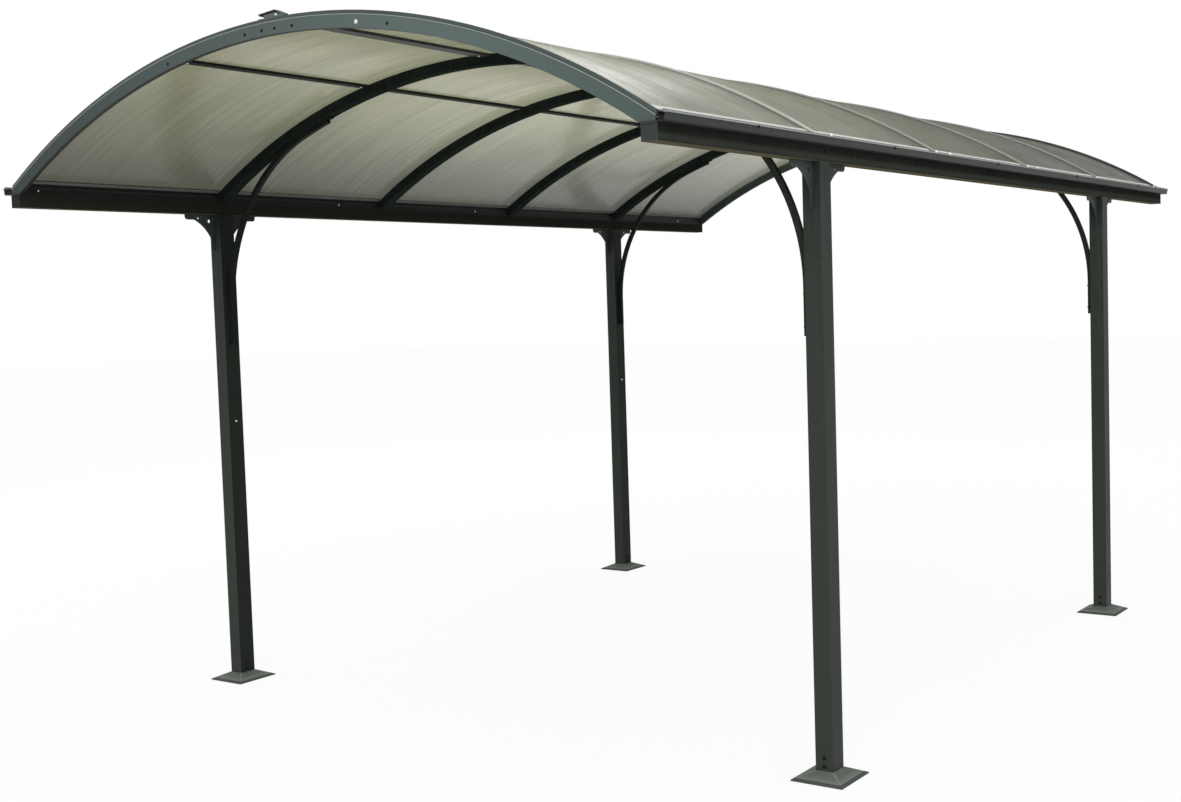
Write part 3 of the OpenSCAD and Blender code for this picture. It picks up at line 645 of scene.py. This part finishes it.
# %% Bolts at the feet and along the beams
BEAM_OUT, BEAM_IN = 1.462, 1.410
BRACE_THICK = 0.020
foot_heights = np.array([0.046, 0.074])
along = [[(POST_X, y + s * POST_HALF_Y, z) for z in foot_heights] for y in (-POST_Y, POST_Y) for s in (-1, 1)]
across = [[(-POST_X + s * POST_HALF_X, y, z) for z in foot_heights] for y in (-POST_Y, POST_Y) for s in (-1, 1)]
foot_places = np.array(along + across).reshape(-1, 3)
foot_axes = np.repeat([[0, -1, 0], [0, 1, 0]] * 2 + [[-1, 0, 0], [1, 0, 0]] * 2, 2, axis=0)
put_piece("foot_bolts", *turned_heads(foot_places, foot_axes, foot_bolt), dark_screws, "post_paint")

beam_stations = np.array([-1.5, -0.76, -0.04, 0.91])
outer_height, inner_height, inner_y = 2.061, 2.071, 1.484
beam_places = [(side * BEAM_OUT, y, outer_height) for side in (-1, 1) for y in beam_stations]
beam_axes = [(side, 0, 0) for side in (-1, 1) for y in beam_stations]
beam_places += [(side * BEAM_IN, end * inner_y, inner_height) for side in (-1, 1) for end in (-1, 1)]
beam_axes += [(-side, 0, 0) for side in (-1, 1) for end in (-1, 1)]
put_piece("beam_bolts", *turned_heads(beam_places, beam_axes, beam_bolt), dark_screws, "beam_paint")

leg_heights = (1.606, 1.500)
leg_places = [(side * (POST_IN - BRACE_THICK), end * POST_Y, z)
              for side in (-1, 1) for end in (-1, 1) for z in leg_heights]
leg_axes = [(-side, 0, 0) for side in (-1, 1) for end in (-1, 1) for z in leg_heights]
put_piece("brace_leg_screws", *turned_heads(leg_places, leg_axes, flange_screw), dark_screws, "brace_paint")

# %% [markdown]
# ## Screws on the gutters
#
# Tall bright screws stand on the lip, most of them near the ribs, and one more at the foot of each cover strip.
# Small dark ones sit in the rolled edge in the middle of each bay, and small bright ones along the inner wall.

# %% Gutter screws
LIP_X, STRIP_CREST = 1.491, 2.636
EDGE_X, EDGE_HEIGHT, WALL_HEIGHT = 1.4983, 2.1025, 2.098
RIB_Y = np.array([-1.5, -0.5, 0.5, 1.5])
bright_stations = np.array([-1.51, -0.65, -0.52, 0.33, 0.45, 1.28, 2.26])
dark_stations = np.array([-2.0, -1.03, -0.03, 0.97, 1.95])
wall_stations = np.array([-2.417, -1.482, -0.802, 0.20, 1.482, 2.20])
strip_x = 1.447
strip_z = ROOF_CENTRE + np.sqrt(STRIP_CREST ** 2 - strip_x ** 2)
bright_places = [(side * LIP_X, y, LIP_TOP) for side in (-1, 1) for y in bright_stations]
bright_axes = [(0, 0, 1) for side in (-1, 1) for y in bright_stations]
bright_places += [(side * strip_x, y, strip_z) for side in (-1, 1) for y in RIB_Y]
bright_axes += [(side * strip_x / STRIP_CREST, 0, (strip_z - ROOF_CENTRE) / STRIP_CREST)
                for side in (-1, 1) for y in RIB_Y]
put_piece("bright_gutter_screws", *turned_heads(bright_places, bright_axes, lip_screw), bright_screws, "gutter_paint")

wall_places = [(side * BEAM_IN, y, WALL_HEIGHT) for side in (-1, 1) for y in wall_stations]
wall_axes = [(-side, 0, 0) for side in (-1, 1) for y in wall_stations]
put_piece("bright_wall_screws", *turned_heads(wall_places, wall_axes, small_dome), bright_screws, "gutter_paint")

edge_places = [(side * EDGE_X, y, EDGE_HEIGHT) for side in (-1, 1) for y in dark_stations]
edge_axes = [(side, 0, 0) for side in (-1, 1) for y in dark_stations]
put_piece("dark_edge_screws", *turned_heads(edge_places, edge_axes, dome_screw), dark_screws, "gutter_paint")

# %% [markdown]
# ## Screws in the end arches
#
# Two pairs of screws sit about the top of each end arch and one near each side purlin. They lie on the middle
# line of the arch's face, so their height follows from their distance to the side.

# %% Arch screws
ARCH_FACE, ARCH_MIDDLE = 2.5, 2.604
screw_x = np.array([-0.52, -0.13, -0.05, 0.01, 0.09, 0.5])
screw_z = ROOF_CENTRE + np.sqrt(ARCH_MIDDLE ** 2 - screw_x ** 2)
arch_places = [(x, end * ARCH_FACE, z) for end in (-1, 1) for x, z in zip(screw_x, screw_z)]
arch_axes = [(0, end, 0) for end in (-1, 1) for x in screw_x]
put_piece("arch_screws", *turned_heads(arch_places, arch_axes, dome_screw), dark_screws, "end_arch_paint")

# %% [markdown]
# ## Plug of the spare hole
#
# One hole to the right of the ridge isn't used and shows as a pale spot. A low nylon plug closes it, wider than the
# hole, with a rounded edge.

# %% Pale plugs
plug_profile = np.array([[7.0, -0.3, 0], [7.0, 0.5, 0], [6.4, 1.2, 0], [4.5, 1.8, 0], [2.0, 2.1, 0]]) * [MM, MM, 1]
hole_x = 0.371
hole_z = ROOF_CENTRE + np.sqrt(ARCH_MIDDLE ** 2 - hole_x ** 2)
hole_places = [(hole_x, end * ARCH_FACE, hole_z) for end in (-1, 1)]
end_axes = [(0, end, 0) for end in (-1, 1)]
pale_nylon = painted("pale_nylon", (0.80, 0.81, 0.78), 0.5, 0.06, 0.1, 0.1, pebble=0.05)
put_piece("pale_plugs", *turned_heads(hole_places, end_axes, plug_profile), pale_nylon, "end_arch_paint")

# %% [markdown]
# ## Edge trims of the sheets
#
# A fluted sheet is closed at its lower edge by a small U of bright aluminium, which keeps insects and dirt out of the
# flutes. The trim follows the slope of the sheet at the eave and runs from rib to rib. Its lowest part and its leg
# under the sheet are darkened with painted shade.

# %% Edge trims
SHEET_EDGE = 1.420
slope = np.arcsin(SHEET_EDGE / SHEET_TOP)
down_slope = np.array([np.cos(slope), -np.sin(slope)])
off_slope = np.array([np.sin(slope), np.cos(slope)])
edge_point = np.array([SHEET_EDGE, ROOF_CENTRE + np.sqrt(SHEET_TOP ** 2 - SHEET_EDGE ** 2)])
trim_wall, trim_depth = 0.0010, 0.022
lower_face = -(SHEET_TOP - SHEET_UNDER)
corner_past = 0.0045
trim_outline = np.array([[-trim_depth, 0.0], [-trim_depth, trim_wall], [corner_past + trim_wall, trim_wall],
                         [corner_past + trim_wall, lower_face - trim_wall], [-trim_depth, lower_face - trim_wall],
                         [-trim_depth, lower_face], [corner_past, lower_face], [corner_past, 0.0]])[::-1]
trim_section = edge_point + trim_outline[:, :1] * down_slope + trim_outline[:, 1:] * off_slope
TRIM_END, TRIM_GAP = 2.481, 0.026
bay_ends = list(zip([-TRIM_END, *(RIB_Y + TRIM_GAP)], [*(RIB_Y - TRIM_GAP), TRIM_END]))
trims = []
for side in (-1, 1):
    section = trim_section if side == 1 else trim_section[::-1] * [-1, 1]
    for start, stop in bay_ends:
        trims.append(carried_profile(section, [(0, stop, 0), (0, start, 0)], (1, 0, 0), (0, 0, 1)))
# Trim bands: painted shade on the trim's lowest part and on its leg under the sheet.
trim_bands = [("z", 2.100, 2.1215, 0.0006, (0.020, 0.020, 0.017), 0.9),
              ("r", 2.600, SHEET_UNDER, 0.0003, (0.060, 0.062, 0.055), 0.9)]
bright_aluminium = painted("mill_aluminium", (0.70, 0.71, 0.68), 0.4, 0.15, 0.1, 0.1, trim_bands, gloss=0.3)
put_piece("sheet_edge_trims", *joined(trims), bright_aluminium, "roof_sheet", 30.0)

# %% [markdown]
# ## Seals beside the cover strips
#
# Where a strip presses on two sheets, a dark rubber lip shows on both its sides as a fine line. It is a small
# section carried along the roof's arc: at each turn, "up" is the direction away from the centre line.

# %% Seals
SEAL_END, SEAL_OFFSET = 1.416, 0.0108
seal_turn = np.linspace(-1, 1, 97) * np.arcsin(SEAL_END / SHEET_TOP)
outward = np.stack([np.sin(seal_turn), np.zeros_like(seal_turn), np.cos(seal_turn)], -1)
seal_section = np.array([[-0.7, 0.05], [0.7, 0.05], [0.4, 0.7], [-0.4, 0.7]]) * MM
seals = []
for y in RIB_Y:
    for side in (-1, 1):
        path = outward * SHEET_TOP + [0, y + side * SEAL_OFFSET, ROOF_CENTRE]
        seals.append(carried_profile(seal_section[::-1], path, (0, 1, 0), outward))
rubber = painted("black_rubber", (0.014, 0.014, 0.013), 0.7, 0.3, 0.1, 0.3, pebble=0.2)
put_piece("strip_seals", *joined(seals), rubber, "strip_paint", 30.0)

# %% [markdown]
# ## Plugs in the braces
#
# The lower end of each brace is an open tube, so it is closed by a black plug with a thin rim.

# %% Brace plugs
BRACE_FOOT = 1.472
plug_outer = np.array([[-1, -1], [1, -1], [1, 1], [-1, 1]]) * BRACE_THICK / 2
plug_rows = np.array([0.80, 0.96, 1.0, 1.0])
plug_drop = np.array([-0.0032, -0.0030, -0.0022, 0.0])
plugs = []
for side in (-1, 1):
    for end in (-1, 1):
        centre = np.array([side * (POST_IN - BRACE_THICK / 2), end * POST_Y])
        rings = centre + plug_outer[None] * plug_rows[:, None, None]
        heights = np.broadcast_to((BRACE_FOOT + plug_drop)[:, None, None], (4, 4, 1))
        grid = np.concatenate([rings, heights], -1)
        plugs.append((grid, ring_faces(4, 4).tolist() + [[3, 2, 1, 0], [12, 13, 14, 15]]))
put_piece("brace_plugs", *joined(plugs), rubber, "brace_paint", 30.0)

# %% [markdown]
# ## Blocks and pads in the ridge clips
#
# A painted block lies on the clip's lower leaf, with a small bright screw in its end, and its pale coat is the clip's
# painted light. A thin dark rubber pad fills what is left under the upper leaf and stands for painted shade there, so
# both follow that leaf's underside, from the open end over the fold.

# %% Clip blocks, pads and screws
STRIP_RIDGE, CLIP_Y = ROOF_CENTRE + STRIP_TOP, 2.483
PAD_HALF, BLOCK_HALF = 0.0100, 0.0095
pad_section = np.array([[-0.066, 0.0112], [0.009, 0.0155], [0.041, 0.0062], [0.041, 0.0072], [0.009, 0.0216],
                        [-0.066, 0.0150]])
block_section = np.array([[-0.044, 0.0016], [-0.020, 0.0019], [0.0, 0.0020], [0.041, 0.0017], [0.041, 0.0062],
                          [0.009, 0.0155], [-0.046, 0.01235]])
# The black pad is painted shade under the upper leaf, and the block wears the clip's painted light.
for name, section, half, finish in (("clip_shade_pads", pad_section, PAD_HALF, rubber),
                                    ("clip_blocks", block_section, BLOCK_HALF, clip_coat)):
    bars = [carried_profile(section, [(0, end * CLIP_Y + half, STRIP_RIDGE), (0, end * CLIP_Y - half, STRIP_RIDGE)],
                            (1, 0, 0), (0, 0, 1)) for end in (-1, 1)]
    put_piece(name, *joined(bars), finish, "clip_paint", 30.0)
clip_screw_x, clip_screw_rise = 0.012, 0.0075
clip_screw_places = [(clip_screw_x, end * (CLIP_Y + BLOCK_HALF), STRIP_RIDGE + clip_screw_rise) for end in (-1, 1)]
put_piece("clip_screws", *turned_heads(clip_screw_places, end_axes, dome_screw), bright_screws, "clip_paint")

# %% [markdown]
# ## Rivets and purlin screws
#
# One pale rivet closes a spare hole on the inner face of each post. Under the purlins, a small screw stands beside
# each rib. A purlin lies turned about the roof's centre line, so its screws point at that line.

# %% Post rivets and purlin screws
RIVET_HEIGHT = 1.137
rivet_places = [(side * POST_IN, end * POST_Y, RIVET_HEIGHT) for side in (-1, 1) for end in (-1, 1)]
rivet_axes = [(-side, 0, 0) for side in (-1, 1) for end in (-1, 1)]
put_piece("post_rivets", *turned_heads(rivet_places, rivet_axes, dome_screw), bright_screws, "post_paint")

PURLIN_X, RIDGE_X, PURLIN_DEPTH = 0.515, 0.09, 0.010
purlin_turn = np.arcsin(np.array([-PURLIN_X, RIDGE_X, PURLIN_X]) / SHEET_UNDER)
purlin_radius = SHEET_UNDER - PURLIN_DEPTH
purlin_stations = np.array([-2.42, -1.56, -1.44, -0.56, -0.44, 0.44, 0.56, 1.44, 1.56, 2.42])
purlin_places = [(purlin_radius * np.sin(t), y, ROOF_CENTRE + purlin_radius * np.cos(t)) for t in purlin_turn
                 for y in purlin_stations]
purlin_axes = [(-np.sin(t), 0, -np.cos(t)) for t in purlin_turn for y in purlin_stations]
put_piece("purlin_screws", *turned_heads(purlin_places, purlin_axes, small_dome), bright_screws, "purlin_paint")

# %% [markdown]
# ## Fixings through the sheets
#
# A few bright washers hold the sheets down on the side purlins. From the front right they show as light specks along
# the crest. They lie flat on the sheet, so each one's axis is the direction away from the roof's centre line.

# %% Sheet fixings
fixing_stations = np.array([-0.16, 0.07, 1.19, 1.92, 2.30])
fixing_turn = np.arcsin(PURLIN_X / SHEET_TOP)
fixing_places = [(side * SHEET_TOP * np.sin(fixing_turn), y, ROOF_CENTRE + SHEET_TOP * np.cos(fixing_turn))
                 for side in (-1, 1) for y in fixing_stations]
fixing_axes = [(side * np.sin(fixing_turn), 0, np.cos(fixing_turn)) for side in (-1, 1) for y in fixing_stations]
put_piece("sheet_fixings", *turned_heads(fixing_places, fixing_axes, sheet_washer), bright_screws, "roof_sheet")

# %% [markdown]
# ## Floor, backdrop and light
#
# The carport stands on a plain pale floor in a plain white room. To the camera, and in reflections and through the
# sheets, floor and room are white. To the light that falls on the object they are a normal pale floor and a soft
# glow. The floor keeps part of its own shading, so that the shadow under the carport stays.

# %% Floor and world
FLOOR_HALF = 40.0


def seen_directly(tree):
    """1 for rays from the camera, from a glossy reflection or through a clear part, and 0 for others."""
    path = add(tree, "ShaderNodeLightPath").outputs
    either = sum_of(tree, "MAXIMUM", path["Is Camera Ray"], path["Is Glossy Ray"])
    return sum_of(tree, "MAXIMUM", either, path["Is Transmission Ray"])


floor_mesh = bpy.data.meshes.new("studio_floor")
floor_corners = [(-FLOOR_HALF, -FLOOR_HALF, 0), (FLOOR_HALF, -FLOOR_HALF, 0), (FLOOR_HALF, FLOOR_HALF, 0),
                 (-FLOOR_HALF, FLOOR_HALF, 0)]
floor_mesh.from_pydata(floor_corners, [], [(0, 1, 2, 3)])
floor = bpy.data.objects.new("studio_floor", floor_mesh)
bpy.context.scene.collection.objects.link(floor)
floor_finish = bpy.data.materials.new("pale_floor")
floor_finish.use_nodes = True
tree = floor_finish.node_tree
tree.nodes.remove(tree.nodes["Principled BSDF"])
matt = add(tree, "ShaderNodeBsdfDiffuse", {"Color": (0.85, 0.85, 0.84, 1)})
white = add(tree, "ShaderNodeEmission", {"Color": (1, 1, 1, 1), "Strength": 1.04})
share = sum_of(tree, "MULTIPLY", seen_directly(tree), 0.86)
mixed = add(tree, "ShaderNodeMixShader", {0: share, 1: matt.outputs[0], 2: white.outputs[0]})
tree.links.new(mixed.outputs[0], tree.nodes["Material Output"].inputs["Surface"])
floor_mesh.materials.append(floor_finish)

world = bpy.data.worlds.new("soft_room")
bpy.context.scene.world = world
world.use_nodes = True
tree = world.node_tree
soft_glow = tree.nodes["Background"]
soft_glow.inputs["Color"].default_value = (1.0, 1.0, 1.0, 1)
room_level = ramp(tree, seen_directly(tree), 0.0, 1.0, 0.75, 1.0)
tree.links.new(room_level, soft_glow.inputs["Strength"])
print("floor and room ready")


# %% Lamps
def softbox(name, place, aim, size, power):
    """A square lamp at a place, turned so that its back axis points away from what it lights."""
    lamp = bpy.data.lights.new(name, "AREA")
    lamp.size, lamp.energy = size, power
    holder = bpy.data.objects.new(name, lamp)
    bpy.context.scene.collection.objects.link(holder)
    back = np.array(place, float) - np.array(aim, float)
    back /= np.linalg.norm(back)
    side = np.cross([0, 0, 1.0], back)
    side /= np.linalg.norm(side)
    placed = np.eye(4)
    placed[:3, :3] = np.array([side, np.cross(back, side), back]).T
    placed[:3, 3] = place
    holder.matrix_world = Matrix(placed.tolist())
    print(name, "at", place, "W", power)


softbox("front_softbox", (6.0, -9.5, 7.5), (0, 0, 1.2), 6.0, 390.0)
softbox("rear_softbox", (-6.0, 7.0, 8.0), (0, 0, 1.2), 6.0, 120.0)

# %% [markdown]
# ## View settings

# %% View settings
bpy.context.scene.view_settings.view_transform = "Standard"
